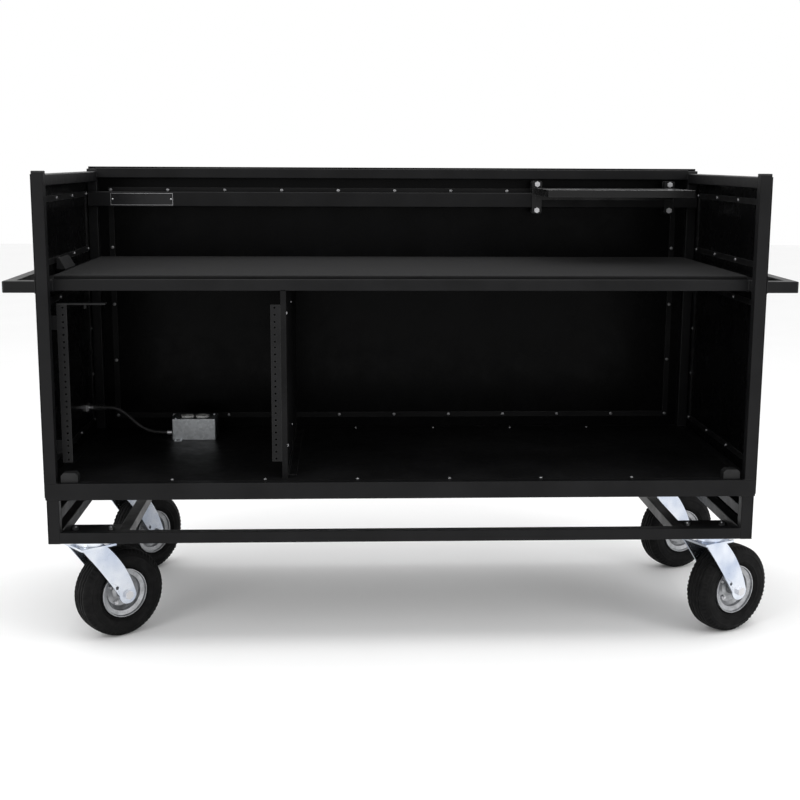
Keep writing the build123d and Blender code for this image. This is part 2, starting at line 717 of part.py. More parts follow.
def fork(key):
    """Crown, lower race and two curved legs that reach back to the axle."""
    end_r = 22.0
    outline = make_face([
        Line((14, CROWN_TOP), (CROWN_FRONT, CROWN_TOP)),
        ThreePointArc((CROWN_FRONT, CROWN_TOP), (0, 172), (LEAD - end_r, WHEEL_R)),
        ThreePointArc((LEAD - end_r, WHEEL_R), (LEAD, WHEEL_R - end_r), (LEAD + end_r, WHEEL_R)),
        ThreePointArc((LEAD + end_r, WHEEL_R), (66, 164), (14, CROWN_TOP)),
    ])
    side = LEG_INNER + LEG_THICK
    body = block((CROWN_FRONT, CROWN_REAR), (-side, side), (CROWN_BOTTOM, CROWN_TOP))
    for y in (LEG_INNER, -side):
        body += extrude(Plane.XZ.offset(y) * outline, amount=LEG_THICK)
    ring = rod((0, 0, CROWN_TOP), (0, 0, 1), RACE_R, RACE_TOP - CROWN_TOP)
    body += ring - rod((0, 0, CROWN_TOP), (0, 0, 1), BOSS_R + 0.8, RACE_TOP - CROWN_TOP)
    body -= rod((0, 0, CROWN_BOTTOM - 1), (0, 0, 1), KINGPIN_R + RUNNING_GAP, 8)
    body -= rod((LEAD, -side - 1, WHEEL_R), (0, 1, 0), AXLE_R + 0.05, 2 * side + 2)
    body -= rod((LEAD - 27, -side - 1, WHEEL_R + 21), (0, 1, 0), 4, 2 * side + 2)
    return [at_corner(key) * body]


def axle(key):
    """Axle bolt with its spacers and nut."""
    side = LEG_INNER + LEG_THICK
    bolt = rod((LEAD, -side - 3, WHEEL_R), (0, 1, 0), AXLE_R, 2 * side + 14)
    bolt += hex_bar((LEAD, -side, WHEEL_R), (0, -1, 0), 19, 7.5)
    bolt += hex_bar((LEAD, side, WHEEL_R), (0, 1, 0), 19, 9)
    for low, high in ((-LEG_INNER, -33.4), (33.4, LEG_INNER)):
        bolt += rod((LEAD, low, WHEEL_R), (0, 1, 0), 11, high - low)
    return [at_corner(key) * bolt]


def wheel_place(key):
    """Place of a wheel whose own axis is local Z."""
    return at_corner(key) * Pos(LEAD, 0, WHEEL_R) * Rot(-90, 0, 0)


# radius and distance from the middle, from the bore outwards and back inside the well
RIM_HALF = [
    (AXLE_R + RUNNING_GAP, 0), (AXLE_R + RUNNING_GAP, 33), (14, 33), (14, 12), (22, 8), (35, 8),
    (42, 15), (44, 22), (54, 24.3), (55.5, 29), (57.5, 29), (57.5, 22.8), (55, 21.5),
    (49, 20), (47, 14), (47, 0),
]


def rim(key):
    """Pressed rim with its hub barrel, turned about the axle."""
    lower = [(radius, -height) for radius, height in reversed(RIM_HALF[1:-1])]
    section = make_face(Polyline(*(RIM_HALF + lower), close=True))
    turned = revolve(Plane.XZ * section, Axis.Z)
    return [wheel_place(key) * turned]


TYRE_BEAD = 50.2
TREAD_HALF = 21.0


def tyre(key):
    """Open-bellied pneumatic tyre with four grooves round its tread."""
    bead = 18.5
    shoulder = (103.6, TREAD_HALF)
    outside = [
        Line((TYRE_BEAD, 12), (TYRE_BEAD, bead)),
        Line((TYRE_BEAD, bead), (55.2, 20.2)),
        Line((55.2, 20.2), (58.8, 22.8)),
        ThreePointArc((58.8, 22.8), (78, 34.5), (96, 29.5)),
        ThreePointArc((96, 29.5), (101.1, 26.5), shoulder),
        ThreePointArc(shoulder, (WHEEL_R, 0), (103.6, -TREAD_HALF)),
    ]
    mirrored_wall = [edge.mirror(Plane.XZ) for edge in outside[:5]]
    inside = [
        Line((TYRE_BEAD, 12), (56, 13)),
        ThreePointArc((56, 13), (77, 28.5), (94, 22)),
        ThreePointArc((94, 22), (97.5, 0), (94, -22)),
        ThreePointArc((94, -22), (77, -28.5), (56, -13)),
        Line((56, -13), (TYRE_BEAD, -12)),
    ]
    section = make_face(outside + mirrored_wall + inside)
    turned = revolve(Plane.XZ * section, Axis.Z)
    for height in (-15.0, -6.0, 6.0, 15.0):
        groove = rod((0, 0, height - 1.5), (0, 0, 1), WHEEL_R + 2, 3)
        groove -= rod((0, 0, height - 2), (0, 0, 1), WHEEL_R - 3, 4)
        turned -= groove
    return [wheel_place(key) * turned]


# ---------------------------------------------------------------- all nodes
def build_nodes():
    """Every node's solids in the work frame, by name."""
    makers = [
        front_posts, rear_posts, tube_caps, side_rails, rear_rail,
        base_long_rails, base_end_rails, base_legs, base_mid_rails, base_end_panels,
        lower_long_rails, lower_cross_rails, caster_pads,
        deck, shelf_tubes, shelf_board, shelf_carpet,
        left_panel, right_panel, back_panel, panel_strips, panel_screws,
        divider, divider_angle, rack_rails, rack_brackets, corner_blocks, cable_hood,
        handle_left, handle_right, accessory_rail, badge, tray, tray_clamps, tray_bolts,
        outlet_box, outlet_cover, receptacle, cable_glands, lead_boot, supply_lead, power_inlet,
        caster_plates, caster_bolts,
    ]
    nodes = {maker.__name__: maker() for maker in makers}
    for key in CORNERS:
        for maker in (fork, axle, rim, tyre):
            nodes["%s_%s" % (maker.__name__, key)] = maker(key)
    return nodes


def origin_of(nodes):
    """Bottom centre of the box round all nodes, in the work frame."""
    boxes = [shape.bounding_box() for shapes in nodes.values() for shape in shapes]
    left, right = min(box.min.X for box in boxes), max(box.max.X for box in boxes)
    front, rear = min(box.min.Y for box in boxes), max(box.max.Y for box in boxes)
    return Vector((left + right) / 2, (front + rear) / 2, min(box.min.Z for box in boxes))


def main():
    nodes = build_nodes()
    origin = origin_of(nodes)
    print("origin in the work frame: %.4f %.4f %.4f" % (origin.X, origin.Y, origin.Z))
    os.makedirs("parts", exist_ok=True)
    for name, shapes in nodes.items():
        solids = [solid.moved(Location(-origin)) for shape in shapes for solid in shape.solids()]
        export_step(solids[0] if len(solids) == 1 else Compound(solids), "parts/%s.step" % name)
    print(len(nodes), "nodes")


main()
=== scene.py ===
"""Looks of the wheeled equipment cart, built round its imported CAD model.

Everything is in metres in the row frame: X to the right, Y to the closed back, Z up from the floor.
"""
import json
import math
import random

import bmesh
import bpy
from mathutils import Matrix, Vector, noise


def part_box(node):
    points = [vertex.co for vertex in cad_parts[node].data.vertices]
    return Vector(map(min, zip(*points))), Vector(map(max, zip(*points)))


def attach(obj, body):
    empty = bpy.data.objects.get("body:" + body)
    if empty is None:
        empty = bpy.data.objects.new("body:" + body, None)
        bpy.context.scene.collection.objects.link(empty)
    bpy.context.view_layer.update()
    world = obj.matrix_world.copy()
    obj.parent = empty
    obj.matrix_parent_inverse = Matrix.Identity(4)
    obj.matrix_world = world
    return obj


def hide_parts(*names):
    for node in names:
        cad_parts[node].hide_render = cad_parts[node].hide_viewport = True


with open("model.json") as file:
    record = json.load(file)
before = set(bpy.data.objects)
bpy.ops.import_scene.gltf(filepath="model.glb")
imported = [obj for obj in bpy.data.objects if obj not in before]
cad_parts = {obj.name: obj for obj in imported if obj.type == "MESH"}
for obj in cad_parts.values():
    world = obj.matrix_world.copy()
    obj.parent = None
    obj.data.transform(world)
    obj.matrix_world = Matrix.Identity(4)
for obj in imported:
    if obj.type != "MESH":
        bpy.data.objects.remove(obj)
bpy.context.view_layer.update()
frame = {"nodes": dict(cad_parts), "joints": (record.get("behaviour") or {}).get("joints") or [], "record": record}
MM = 0.001


def from_posts(x, y, z):
    """A place in millimetres from the middle of the cart, the front face of its posts and the floor."""
    low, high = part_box("front_posts")
    return Vector(((low[0] + high[0]) / 2 + x * MM, low[1] + y * MM, z * MM))


# ---------------------------------------------------------------- camera
CAMERA_PLACE = from_posts(-132.5, -2847.8, 1104.2)
CAMERA_LENS = 58.73         # with a sensor 36 mm wide
CAMERA_DOWN = 10.464        # degrees below the horizon
CAMERA_RIGHT = 2.451        # degrees to the right of +Y
CAMERA_ROLL = 0.267


def turned_by(degrees, axis):
    return Matrix.Rotation(math.radians(degrees), 4, axis)


def add_camera():
    data = bpy.data.cameras.new("camera")
    data.sensor_width = 36
    data.lens = CAMERA_LENS
    camera = bpy.data.objects.new("camera", data)
    bpy.context.scene.collection.objects.link(camera)
    aim = turned_by(-CAMERA_RIGHT, "Z") @ turned_by(90 - CAMERA_DOWN, "X") @ turned_by(CAMERA_ROLL, "Z")
    camera.matrix_world = Matrix.Translation(CAMERA_PLACE) @ aim
    bpy.context.scene.camera = camera


add_camera()


# ---------------------------------------------------------------- pieces: helpers
def link(name, data, look, body="cart"):
    """A new object with one material, which rides on a body."""
    piece = bpy.data.objects.new(name, data)
    bpy.context.scene.collection.objects.link(piece)
    piece.data.materials.append(look)
    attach(piece, body)
    return piece


def mesh_from(name, points, faces, smooth=True):
    mesh = bpy.data.meshes.new(name)
    mesh.from_pydata([tuple(point) for point in points], [], faces)
    mesh.validate()
    if smooth:
        mesh.polygons.foreach_set("use_smooth", [True] * len(mesh.polygons))
    return mesh


class Shape:
    """Points and faces gathered from several parts of one piece."""

    def __init__(self):
        self.points = []
        self.faces = []

    def add(self, points, faces, place=Matrix.Identity(4)):
        start = len(self.points)
        self.points += [place @ Vector(point) for point in points]
        self.faces += [tuple(start + index for index in face) for face in faces]

    def mesh(self, name, smooth=True):
        return mesh_from(name, self.points, self.faces, smooth)


def turning(profile, segments, shift=None, closed=True):
    """Points and faces of a (radius, height) profile turned about Z.

    shift changes a point by its index in the profile and its angle.
    """
    points = []
    for step in range(segments):
        angle = 2 * math.pi * step / segments
        for index, (radius, height) in enumerate(profile):
            if shift:
                radius, height = shift(index, angle, radius, height)
            points.append((radius * math.cos(angle), radius * math.sin(angle), height))
    count = len(profile)
    faces = []
    for step in range(segments):
        a = step * count
        b = (step + 1) % segments * count
        for index in range(count if closed else count - 1):
            after = (index + 1) % count
            faces.append((a + index, b + index, b + after, a + after))
    return points, faces


def capped(profile, segments, shift=None):
    """A turned solid whose profile starts and ends near the axis, closed by a face at each end."""
    points, faces = turning(profile, segments, shift, closed=False)
    count = len(profile)
    faces.append(tuple(step * count for step in reversed(range(segments))))
    faces.append(tuple(step * count + count - 1 for step in range(segments)))
    return points, faces


def in_metres(profile):
    return [(radius * MM, height * MM) for radius, height in profile]


def along(direction, origin):
    """A place whose Z axis points along a direction."""
    turn = Vector((0, 0, 1)).rotation_difference(Vector(direction)).to_matrix().to_4x4()
    return Matrix.Translation(origin) @ turn


# ---------------------------------------------------------------- materials: helpers
def new_look(name):
    look = bpy.data.materials.new(name)
    look.use_nodes = True
    return look, look.node_tree, look.node_tree.nodes["Principled BSDF"]


def add(tree, kind, inputs=None, **settings):
    """A shader node; an input is a number, a colour or another node's output."""
    node = tree.nodes.new("ShaderNode" + kind)
    for name, value in settings.items():
        setattr(node, name, value)
    for name, value in (inputs or {}).items():
        if isinstance(value, bpy.types.NodeSocket):
            tree.links.new(value, node.inputs[name])
        else:
            node.inputs[name].default_value = value
    return node


def place_in(tree, scale=(1, 1, 1)):
    """The piece's own coordinates, in metres, stretched by a scale."""
    place = add(tree, "TexCoord").outputs["Object"]
    return add(tree, "Mapping", {"Vector": place, "Scale": scale}).outputs["Vector"]


def grains(tree, scale, detail=3.0, rough=0.55, stretch=(1, 1, 1)):
    inputs = {"Vector": place_in(tree, stretch), "Scale": scale, "Detail": detail, "Roughness": rough}
    return add(tree, "TexNoise", inputs).outputs["Fac"]


def between(tree, value, low, high, start=0.3, end=0.7):
    """value, from start to end, becomes a number from low to high."""
    inputs = {"Value": value, "From Min": start, "From Max": end, "To Min": low, "To Max": high}
    return add(tree, "MapRange", inputs).outputs["Result"]


def blend_colours(tree, value, first, second):
    mix = add(tree, "Mix", data_type="RGBA")
    tree.links.new(value, mix.inputs[0])
    for socket, colour in ((mix.inputs[6], first), (mix.inputs[7], second)):
        if isinstance(colour, bpy.types.NodeSocket):
            tree.links.new(colour, socket)
        else:
            socket.default_value = (*colour, 1)
    return mix.outputs[2]


def edges(tree, radius):
    """1 along the edges of the shape and 0 away from them."""
    rounded = add(tree, "Bevel", {"Radius": radius}, samples=6).outputs["Normal"]
    flat = add(tree, "NewGeometry").outputs["Normal"]
    same = add(tree, "VectorMath", {0: rounded, 1: flat}, operation="DOT_PRODUCT").outputs["Value"]
    return between(tree, same, 1.0, 0.0, 0.86, 0.995)


def bumps(tree, *layers):
    """A normal from (height, strength, distance) layers, laid over each other."""
    normal = None
    for height, strength, distance in layers:
        inputs = {"Height": height, "Strength": strength, "Distance": distance}
        if normal:
            inputs["Normal"] = normal
        normal = add(tree, "Bump", inputs).outputs["Normal"]
    return normal


def finish_look(tree, shader, colour, roughness, normal, **fixed):
    tree.links.new(colour, shader.inputs["Base Color"])
    tree.links.new(roughness, shader.inputs["Roughness"])
    tree.links.new(normal, shader.inputs["Normal"])
    for name, value in fixed.items():
        shader.inputs[name.replace("_", " ")].default_value = value


# ---------------------------------------------------------------- materials
def coated_steel(name, dark, light, gloss, wear_and_highlight, peel=0.35, shine=0.12, dust=None):
    """Black coating on steel: orange peel, edges painted a little lighter, partly as wear and partly as a painted
    highlight, and dust on what faces up.
    """
    look, tree, shader = new_look(name)
    patches = between(tree, grains(tree, 9, 5), 0, 1)
    body = blend_colours(tree, patches, dark, light)
    if dust:
        facing = add(tree, "SeparateXYZ", {"Vector": add(tree, "NewGeometry").outputs["Normal"]}).outputs["Z"]
        inputs = {0: between(tree, facing, 0, 1, 0.8, 0.98), 1: between(tree, grains(tree, 30, 5), 0.6, 1)}
        settled = add(tree, "Math", inputs, operation="MULTIPLY").outputs["Value"]
        body = blend_colours(tree, settled, body, dust)
    # painted highlight: the edges are lightened, standing partly for wear and partly for the light that edges
    # catch
    edge_wear_and_highlight = add(tree, "Math", {0: edges(tree, 1.6 * MM), 1: between(tree, grains(tree, 60, 4), 0.25, 1)},
                 operation="MULTIPLY").outputs["Value"]
    colour = blend_colours(tree, edge_wear_and_highlight, body, wear_and_highlight)
    roughness = between(tree, grains(tree, 23, 6), gloss - 0.06, gloss + 0.08)
    normal = bumps(tree, (grains(tree, 700, 2), peel, 0.12 * MM), (grains(tree, 6, 2), 0.15, 1.2 * MM))
    finish_look(tree, shader, colour, roughness, normal, Specular_IOR_Level=shine)
    return look


def smooth_skin(name):
    """Gloss black sheet with wiping marks and slight waves; faces turned away from the middle of the cart carry a
    painted sheen, lighter than the inner faces, with lighter scuffs.
    """
    look, tree, shader = new_look(name)
    marks = between(tree, grains(tree, 5, 6, 0.65, (1, 1, 0.25)), 0, 1)
    clean = blend_colours(tree, marks, (0.0012, 0.0012, 0.0013), (0.0026, 0.0026, 0.0028))
    # painted sheen: faces turned away from the cart's middle are painted lighter, and the scuffs on them lighter
    # still
    painted_sheen = blend_colours(tree, marks, (0.0065, 0.0065, 0.007), (0.0105, 0.0105, 0.011))
    scuffs = between(tree, grains(tree, 11, 9, 0.8, (0.35, 0.35, 2.6)), 0, 1, 0.6, 0.78)
    sheen_and_scuffs = blend_colours(tree, scuffs, painted_sheen, (0.024, 0.024, 0.024))
    inputs = {0: add(tree, "NewGeometry").outputs["Normal"], 1: place_in(tree)}
    outward = add(tree, "VectorMath", inputs, operation="DOT_PRODUCT").outputs["Value"]
    colour = blend_colours(tree, between(tree, outward, 0, 1, 0.0, 0.05), clean, sheen_and_scuffs)
    roughness = between(tree, grains(tree, 14, 7, 0.7), 0.17, 0.34)
    normal = bumps(tree, (grains(tree, 2.4, 1), 0.3, 2.5 * MM), (grains(tree, 900, 2), 0.12, 0.1 * MM))
    finish_look(tree, shader, colour, roughness, normal, Specular_IOR_Level=0.05)
    return look


def faced_board(name, gloss):
    """Black-faced board: fine film texture, with scuffs where cases slide in."""
    look, tree, shader = new_look(name)
    scuffs = between(tree, grains(tree, 16, 8, 0.75, (3.5, 0.5, 3.5)), 0, 1, 0.58, 0.74)
    patches = between(tree, grains(tree, 7, 4), 0, 1)
    film = blend_colours(tree, patches, (0.0032, 0.0032, 0.0034), (0.0075, 0.0075, 0.0078))
    # edges painted lighter: partly wear, partly a painted highlight
    wear_and_highlight = blend_colours(tree, edges(tree, 1.2 * MM), film, (0.012, 0.0115, 0.011))
    colour = blend_colours(tree, scuffs, wear_and_highlight, (0.011, 0.011, 0.0115))
    roughness = between(tree, grains(tree, 30, 6, 0.7), gloss, gloss + 0.16)
    normal = bumps(tree, (grains(tree, 420, 3), 0.25, 0.15 * MM), (scuffs, 0.2, 0.1 * MM))
    finish_look(tree, shader, colour, roughness, normal, Specular_IOR_Level=0.08)
    return look


def needle_carpet(name):
    """Charcoal needle-punch carpet: matted fibres in two greys over a near-black ground."""
    look, tree, shader = new_look(name)
    inputs = {"Vector": place_in(tree), "Scale": 420, "Randomness": 1}
    tufts = add(tree, "TexVoronoi", inputs).outputs["Distance"]
    fibres = grains(tree, 1100, 5, 0.7, (1, 0.5, 1))
    ground = blend_colours(tree, between(tree, fibres, 0, 1), (0.005, 0.005, 0.0052), (0.022, 0.022, 0.023))
    trodden = blend_colours(tree, between(tree, grains(tree, 8, 5), 0, 1), ground, (0.014, 0.014, 0.0145))
    colour = blend_colours(tree, between(tree, tufts, 0, 0.6, 0.2, 0.8), trodden, (0.006, 0.006, 0.006))
    roughness = between(tree, fibres, 0.85, 1.0)
    normal = bumps(tree, (tufts, 0.7, 0.9 * MM), (fibres, 0.6, 0.5 * MM))
    finish_look(tree, shader, colour, roughness, normal, Specular_IOR_Level=0.08, Sheen_Weight=0.02,
                Sheen_Roughness=0.5)
    return look


def moulded_plastic(name, dark, light, gloss):
    look, tree, shader = new_look(name)
    body = blend_colours(tree, between(tree, grains(tree, 40, 4), 0, 1), dark, light)
    # edges painted lighter: partly wear, partly a painted highlight
    colour = blend_colours(tree, edges(tree, 0.8 * MM), body, [min(1, 1.8 * part) for part in light])
    roughness = between(tree, grains(tree, 90, 4), gloss - 0.07, gloss + 0.07)
    normal = bumps(tree, (grains(tree, 1300, 3), 0.3, 0.1 * MM))
    finish_look(tree, shader, colour, roughness, normal, Specular_IOR_Level=0.25)
    return look


def plated_steel(name, dull, bright, gloss, spangle=0.0, brushed=0.14):
    """Zinc plate; spangle adds the crystal patches of hot-dip galvanising."""
    look, tree, shader = new_look(name)
    clouds = between(tree, grains(tree, 16, 2 if brushed < 0.1 else 6, 0.5), 0, 1)
    body = blend_colours(tree, clouds, dull, bright)
    crystals = add(tree, "TexVoronoi", {"Vector": place_in(tree), "Scale": 160}).outputs["Color"]
    shade = add(tree, "RGBToBW", {"Color": crystals}).outputs["Val"]
    patchy = blend_colours(tree, between(tree, shade, 0, spangle, 0, 1), body, [0.72 * part for part in dull])
    # edges painted brighter: partly wear, partly a painted highlight
    colour = blend_colours(tree, edges(tree, 0.7 * MM), patchy, [min(0.95, 1.15 * part) for part in bright])
    scratches = grains(tree, 260, 5, 0.7, (1, 0.12, 1))
    roughness = between(tree, scratches, gloss - brushed / 2, gloss + brushed)
    normal = bumps(tree, (scratches, brushed, 0.05 * MM), (grains(tree, 18, 2), 0.1, 0.6 * MM))
    finish_look(tree, shader, colour, roughness, normal, Metallic=1.0)
    return look


def rim_paint(name):
    """Silver paint on pressed steel, with road dust in the dish."""
    look, tree, shader = new_look(name)
    dusty = between(tree, grains(tree, 55, 6, 0.7), 0, 0.7)
    colour = blend_colours(tree, dusty, (0.46, 0.47, 0.49), (0.15, 0.15, 0.15))
    roughness = between(tree, grains(tree, 120, 4), 0.3, 0.5)
    normal = bumps(tree, (grains(tree, 900, 2), 0.2, 0.1 * MM))
    finish_look(tree, shader, colour, roughness, normal, Metallic=0.9)
    return look


def tyre_rubber(name):
    """Matte black rubber with fine dust on the walls and tread."""
    look, tree, shader = new_look(name)
    dust = between(tree, grains(tree, 70, 8, 0.75), 0, 1, 0.45, 0.8)
    colour = blend_colours(tree, dust, (0.0030, 0.0030, 0.0032), (0.0095, 0.0092, 0.009))
    roughness = between(tree, grains(tree, 45, 5), 0.62, 0.86)
    normal = bumps(tree, (grains(tree, 1500, 3), 0.35, 0.12 * MM), (grains(tree, 160, 4), 0.2, 0.25 * MM))
    finish_look(tree, shader, colour, roughness, normal, Specular_IOR_Level=0.12)
    return look


def cable_rubber(name):
    look, tree, shader = new_look(name)
    chalk = between(tree, grains(tree, 300, 6, 0.7), 0, 1, 0.4, 0.8)
    colour = blend_colours(tree, chalk, (0.012, 0.012, 0.0125), (0.034, 0.034, 0.034))
    roughness = between(tree, grains(tree, 200, 3), 0.45, 0.62)
    normal = bumps(tree, (grains(tree, 1600, 2), 0.3, 0.1 * MM))
    finish_look(tree, shader, colour, roughness, normal)
    return look


LOOKS = {
    "frame_steel": coated_steel("frame_steel", (0.0042, 0.0042, 0.0045), (0.0075, 0.0075, 0.008),
                                0.38, (0.04,) * 3),
    "skin_steel": smooth_skin("skin_steel"),
    "strip_steel": coated_steel("strip_steel", (0.004, 0.004, 0.0042), (0.007, 0.007, 0.0073),
                                0.34, (0.05,) * 3),
    "tray_steel": coated_steel("tray_steel", (0.003, 0.003, 0.0032), (0.005, 0.005, 0.0052),
                               0.24, (0.05,) * 3, peel=0.2, shine=0.25, dust=(0.04, 0.04, 0.041)),
    "rack_steel": coated_steel("rack_steel", (0.005, 0.005, 0.0052), (0.009, 0.009, 0.0095),
                               0.42, (0.04,) * 3),
    "deck_board": faced_board("deck_board", 0.4),
    "divider_board": faced_board("divider_board", 0.46),
    "board_edge": faced_board("board_edge", 0.5),
    "carpet": needle_carpet("carpet"),
    "cap_plastic": moulded_plastic("cap_plastic", (0.006, 0.006, 0.0065), (0.011, 0.011, 0.0115), 0.5),
    "block_plastic": moulded_plastic("block_plastic", (0.007, 0.007, 0.0073), (0.012, 0.012, 0.0125), 0.55),
    "badge_plastic": moulded_plastic("badge_plastic", (0.006, 0.006, 0.0065), (0.010, 0.010, 0.011), 0.2),
    "socket_plastic": moulded_plastic("socket_plastic", (0.58, 0.58, 0.56), (0.68, 0.68, 0.66), 0.4),
    "screw_steel": plated_steel("screw_steel", (0.20, 0.20, 0.205), (0.36, 0.36, 0.37), 0.36),
    "bolt_steel": plated_steel("bolt_steel", (0.5, 0.5, 0.51), (0.68, 0.68, 0.7), 0.3),
    "zinc": plated_steel("zinc", (0.44, 0.50, 0.62), (0.74, 0.77, 0.82), 0.25, brushed=0.03),
    "gland_steel": plated_steel("gland_steel", (0.42, 0.42, 0.43), (0.6, 0.6, 0.61), 0.32),
    "galvanised": plated_steel("galvanised", (0.48, 0.50, 0.52), (0.64, 0.66, 0.68), 0.36, spangle=0.75),
    "rim_steel": rim_paint("rim_steel"),
    "lead_rubber": cable_rubber("lead_rubber"),
    "tyre": tyre_rubber("tyre"),
}


def dress_frame():
    """Every CAD node takes the look of its material slot."""
    for part in frame["record"]["subparts"]:
        node = frame["nodes"][part["node"]]
        node.data.materials.clear()
        node.data.materials.append(LOOKS[part["material_slot"]])


dress_frame()


def soften(name, width):
    """Rounds the sharp edges of a CAD node for the light to catch; its mesh stays as it is."""
    node = frame["nodes"][name]
    weld = node.modifiers.new("weld", "WELD")
    weld.merge_threshold = 0.01 * MM
    bevel = node.modifiers.new("bevel", "BEVEL")
    bevel.width = width
    bevel.segments = 2
    bevel.limit_method = "ANGLE"
    bevel.angle_limit = math.radians(35)
    normals = node.modifiers.new("normals", "WEIGHTED_NORMAL")
    normals.keep_sharp = False


SOFTENED = {
    "tray_clamps": 0.6, "corner_blocks": 0.7, "deck": 0.6, "divider": 0.8, "shelf_board": 0.6,
    "caster_plates": 0.6, "outlet_box": 0.4, "rack_brackets": 0.4,
    "fork_fl": 0.8, "fork_fr": 0.8, "fork_rl": 0.8, "fork_rr": 0.8,
}
for node_name, edge_width in SOFTENED.items():
    soften(node_name, edge_width * MM)


# ---------------------------------------------------------------- small fixings
# Faces of the frame's tubes, in millimetres as from_posts takes them.
TUBE = 25.4
POST_INNER = 774.6          # sideways, from the middle
SKIN_OUTER = 801.5
LEG_INNER = 771.6
GRIP_INNER = 846.6
CROSS_INNER = 620.8
SHELF_FRONT = 45.0          # rearward
HANDLE_REAR = 589.2
REAR_POST = 614.6
FRONT_LEG = 3.0
REAR_LEG = 611.6
LOWER_RAIL_TOP = 275.7      # upward
END_RAIL_BOTTOM = 326.5
RING_BOTTOM = 351.9
DECK_TOP = 390.0
SHELF_BOTTOM = 815.6
SHELF_TOP = 841.0
SIDE_RAIL_BOTTOM = 1043.6
SIDE_RAIL_TOP = 1069.0
REAR_RAIL_BOTTOM = 1052.6
POST_TOP = 1073.0
CROSS_BEAD = (257.5, 274.7)

BEAD_INSET = 1.0            # a bead stops this far from the tube's corners
BEAD_RADIUS = 2.3
RIPPLE_STEP = 0.8
RIPPLE_DEPTH = 0.35


def rippled_bead(start, end, shape):
    """A weld bead with its ripples, laid in the corner between two tubes."""
    start, end = from_posts(*start), from_posts(*end)
    length = (end - start).length
    profile = [(0.1 * MM, 0)]
    steps = round(length / (RIPPLE_STEP * MM))
    for step in range(steps + 1):
        ripple = RIPPLE_DEPTH * MM * (step % 2)
        taper = min(1, 0.45 + 0.3 * min(step, steps - step))
        profile.append(((BEAD_RADIUS * MM - ripple) * taper, length * step / steps))
    profile.append((0.1 * MM, length))
    shape.add(*capped(profile, 12), along(end - start, start))


def across(low):
    """Both ends of a bead over a tube's face that starts at low."""
    return low + BEAD_INSET, low + TUBE - BEAD_INSET


def bead_lines():
    """Ends of the beads at the joints on the right half of the frame, as placed by from_posts."""
    lines = []
    for post, arm in ((0.0, 0.0), (REAR_POST, HANDLE_REAR)):
        low, high = across(post)
        lines.append(((POST_INNER, low, DECK_TOP), (POST_INNER, high, DECK_TOP)))
        low, high = across(arm)
        for z in (SHELF_TOP, SHELF_BOTTOM):
            lines.append(((SKIN_OUTER, low, z), (SKIN_OUTER, high, z)))
    for leg in (FRONT_LEG, REAR_LEG):
        low, high = across(leg)
        for z in (LOWER_RAIL_TOP, RING_BOTTOM):
            lines.append(((LEG_INNER, low, z), (LEG_INNER, high, z)))
    low, high = across(LEG_INNER)
    for y in (FRONT_LEG + TUBE, REAR_LEG):
        for z in (END_RAIL_BOTTOM, RING_BOTTOM):
            lines.append(((low, y, z), (high, y, z)))
        for x in (CROSS_INNER, CROSS_INNER + TUBE):
            lines.append(((x, y, CROSS_BEAD[0]), (x, y, CROSS_BEAD[1])))
    low, high = across(POST_INNER)
    for y in (TUBE, REAR_POST):
        for z in (SHELF_BOTTOM, SHELF_TOP, SIDE_RAIL_BOTTOM, SIDE_RAIL_TOP):
            lines.append(((low, y, z), (high, y, z)))
    low, high = across(SHELF_BOTTOM)
    for y in (SHELF_FRONT, SHELF_FRONT + TUBE, HANDLE_REAR):
        lines.append(((POST_INNER, y, low), (POST_INNER, y, high)))
    for y in (TUBE, HANDLE_REAR):
        lines.append(((GRIP_INNER, y, low), (GRIP_INNER, y, high)))
    low, high = across(SHELF_FRONT)
    lines.append(((POST_INNER, low, SHELF_BOTTOM), (POST_INNER, high, SHELF_BOTTOM)))
    low, high = across(REAR_POST)
    lines.append(((POST_INNER, low, REAR_RAIL_BOTTOM), (POST_INNER, high, REAR_RAIL_BOTTOM)))
    lines.append(((POST_INNER, REAR_POST, REAR_RAIL_BOTTOM + BEAD_INSET),
                  (POST_INNER, REAR_POST, POST_TOP - BEAD_INSET)))
    return lines


def weld_beads():
    shape = Shape()
    for start, end in bead_lines():
        for side in (-1, 1):
            rippled_bead((side * start[0], *start[1:]), (side * end[0], *end[1:]), shape)
    link("weld_beads", shape.mesh("weld_beads"), LOOKS["frame_steel"])


def islands(node):
    """Groups of places, one for each loose part of a node's mesh."""
    loose = bmesh.new()
    loose.from_mesh(node.data)
    bmesh.ops.remove_doubles(loose, verts=loose.verts, dist=0.01 * MM)
    seen, groups = set(), []
    for first in loose.verts:
        if first in seen:
            continue
        seen.add(first)
        waiting, group = [first], []
        while waiting:
            vert = waiting.pop()
            group.append(node.matrix_world @ vert.co)
            for edge in vert.link_edges:
                other = edge.other_vert(vert)
                if other not in seen:
                    seen.add(other)
                    waiting.append(other)
        groups.append(group)
    loose.free()
    return groups


SCREW_HEAD = [
    (0.1, 0.0), (1.9, 0.0), (1.9, 3.0), (4.4, 3.0), (4.4, 3.95), (4.1, 4.65), (3.5, 5.15), (2.9, 5.35),
    (2.2, 5.4), (2.1, 5.4), (1.5, 5.4), (0.9, 5.4), (0.4, 5.4),
]
RECESS_START = 9            # points of SCREW_HEAD from here on can lie in the cross recess
RECESS_HALF = 0.55
RECESS_DEPTH = 1.3
HEAD_RIM = 4.0              # only the rim of a head lies farther than this from the screw's axis


def pan_screw(place, shape):
    """Pan-head screw with a cross recess, from the end of its shank to the top of its head."""
    def recess(index, angle, radius, height):
        nearest = abs((angle + math.pi / 4) % (math.pi / 2) - math.pi / 4)
        inside = index >= RECESS_START and radius * math.sin(nearest) < RECESS_HALF * MM
        return radius, height - (RECESS_DEPTH * MM if inside else 0)

    shape.add(*capped(in_metres(SCREW_HEAD), 40, recess), place)


